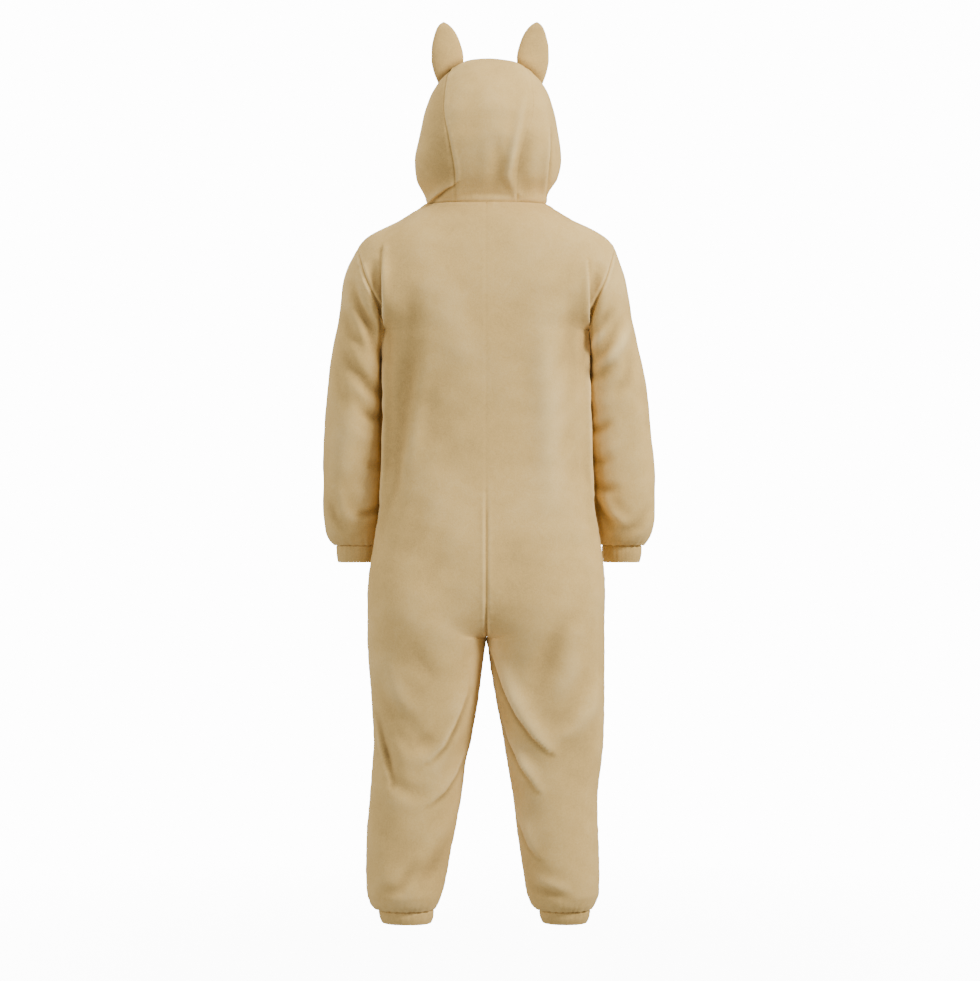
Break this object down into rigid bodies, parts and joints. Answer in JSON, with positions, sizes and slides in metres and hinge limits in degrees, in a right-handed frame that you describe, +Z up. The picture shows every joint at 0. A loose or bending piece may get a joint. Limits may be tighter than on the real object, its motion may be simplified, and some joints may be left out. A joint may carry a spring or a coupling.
{
  "type": "hooded one-piece suit with ears",
  "caption": "Loose one-piece suit of tan plush with a hood and two pointed ears, full sleeves and legs gathered into plain bands, front zip",
  "frame": {"origin": "in the neck, level with the seam between hood and back, where the wearer's shoulders hold the suit", "axes": "+Z up, front faces -Y, the wearer's left is +X"},
  "size_m": [0.663, 0.258, 1.7807],
  "materials": {
    "plush": "short plush nap, soft sheen",
    "band": "short plush nap over elastic",
    "zip_tape": "plain woven tape",
    "zip_teeth": "moulded teeth",
    "zip_metal": "cast and plated"
  },
  "bodies": {
    "suit": {"back_left": "plush", "back_right": "plush", "front_left": "plush", "front_right": "plush", "sleeve_left": "plush", "sleeve_right": "plush", "hood_centre": "plush", "hood_left": "plush", "hood_right": "plush", "ear_left_back": "plush", "ear_left_front": "plush", "ear_right_back": "plush", "ear_right_front": "plush", "wrist_cuff_left": "band", "wrist_cuff_right": "band", "ankle_cuff_left": "band", "ankle_cuff_right": "band", "zip_tape_left": "zip_tape", "zip_tape_right": "zip_tape", "zip_chain": "zip_teeth", "zip_slider": "zip_metal"},
    "pull": {"zip_pull": "zip_metal"}
  },
  "joints": [
    {"name": "pull_tab", "type": "hinge", "parent": "suit", "child": "pull", "pos_m": [0, -0.09825, -0.07787], "axis": [-1, 0, 0], "range_deg": [0, 150]}
  ]
}
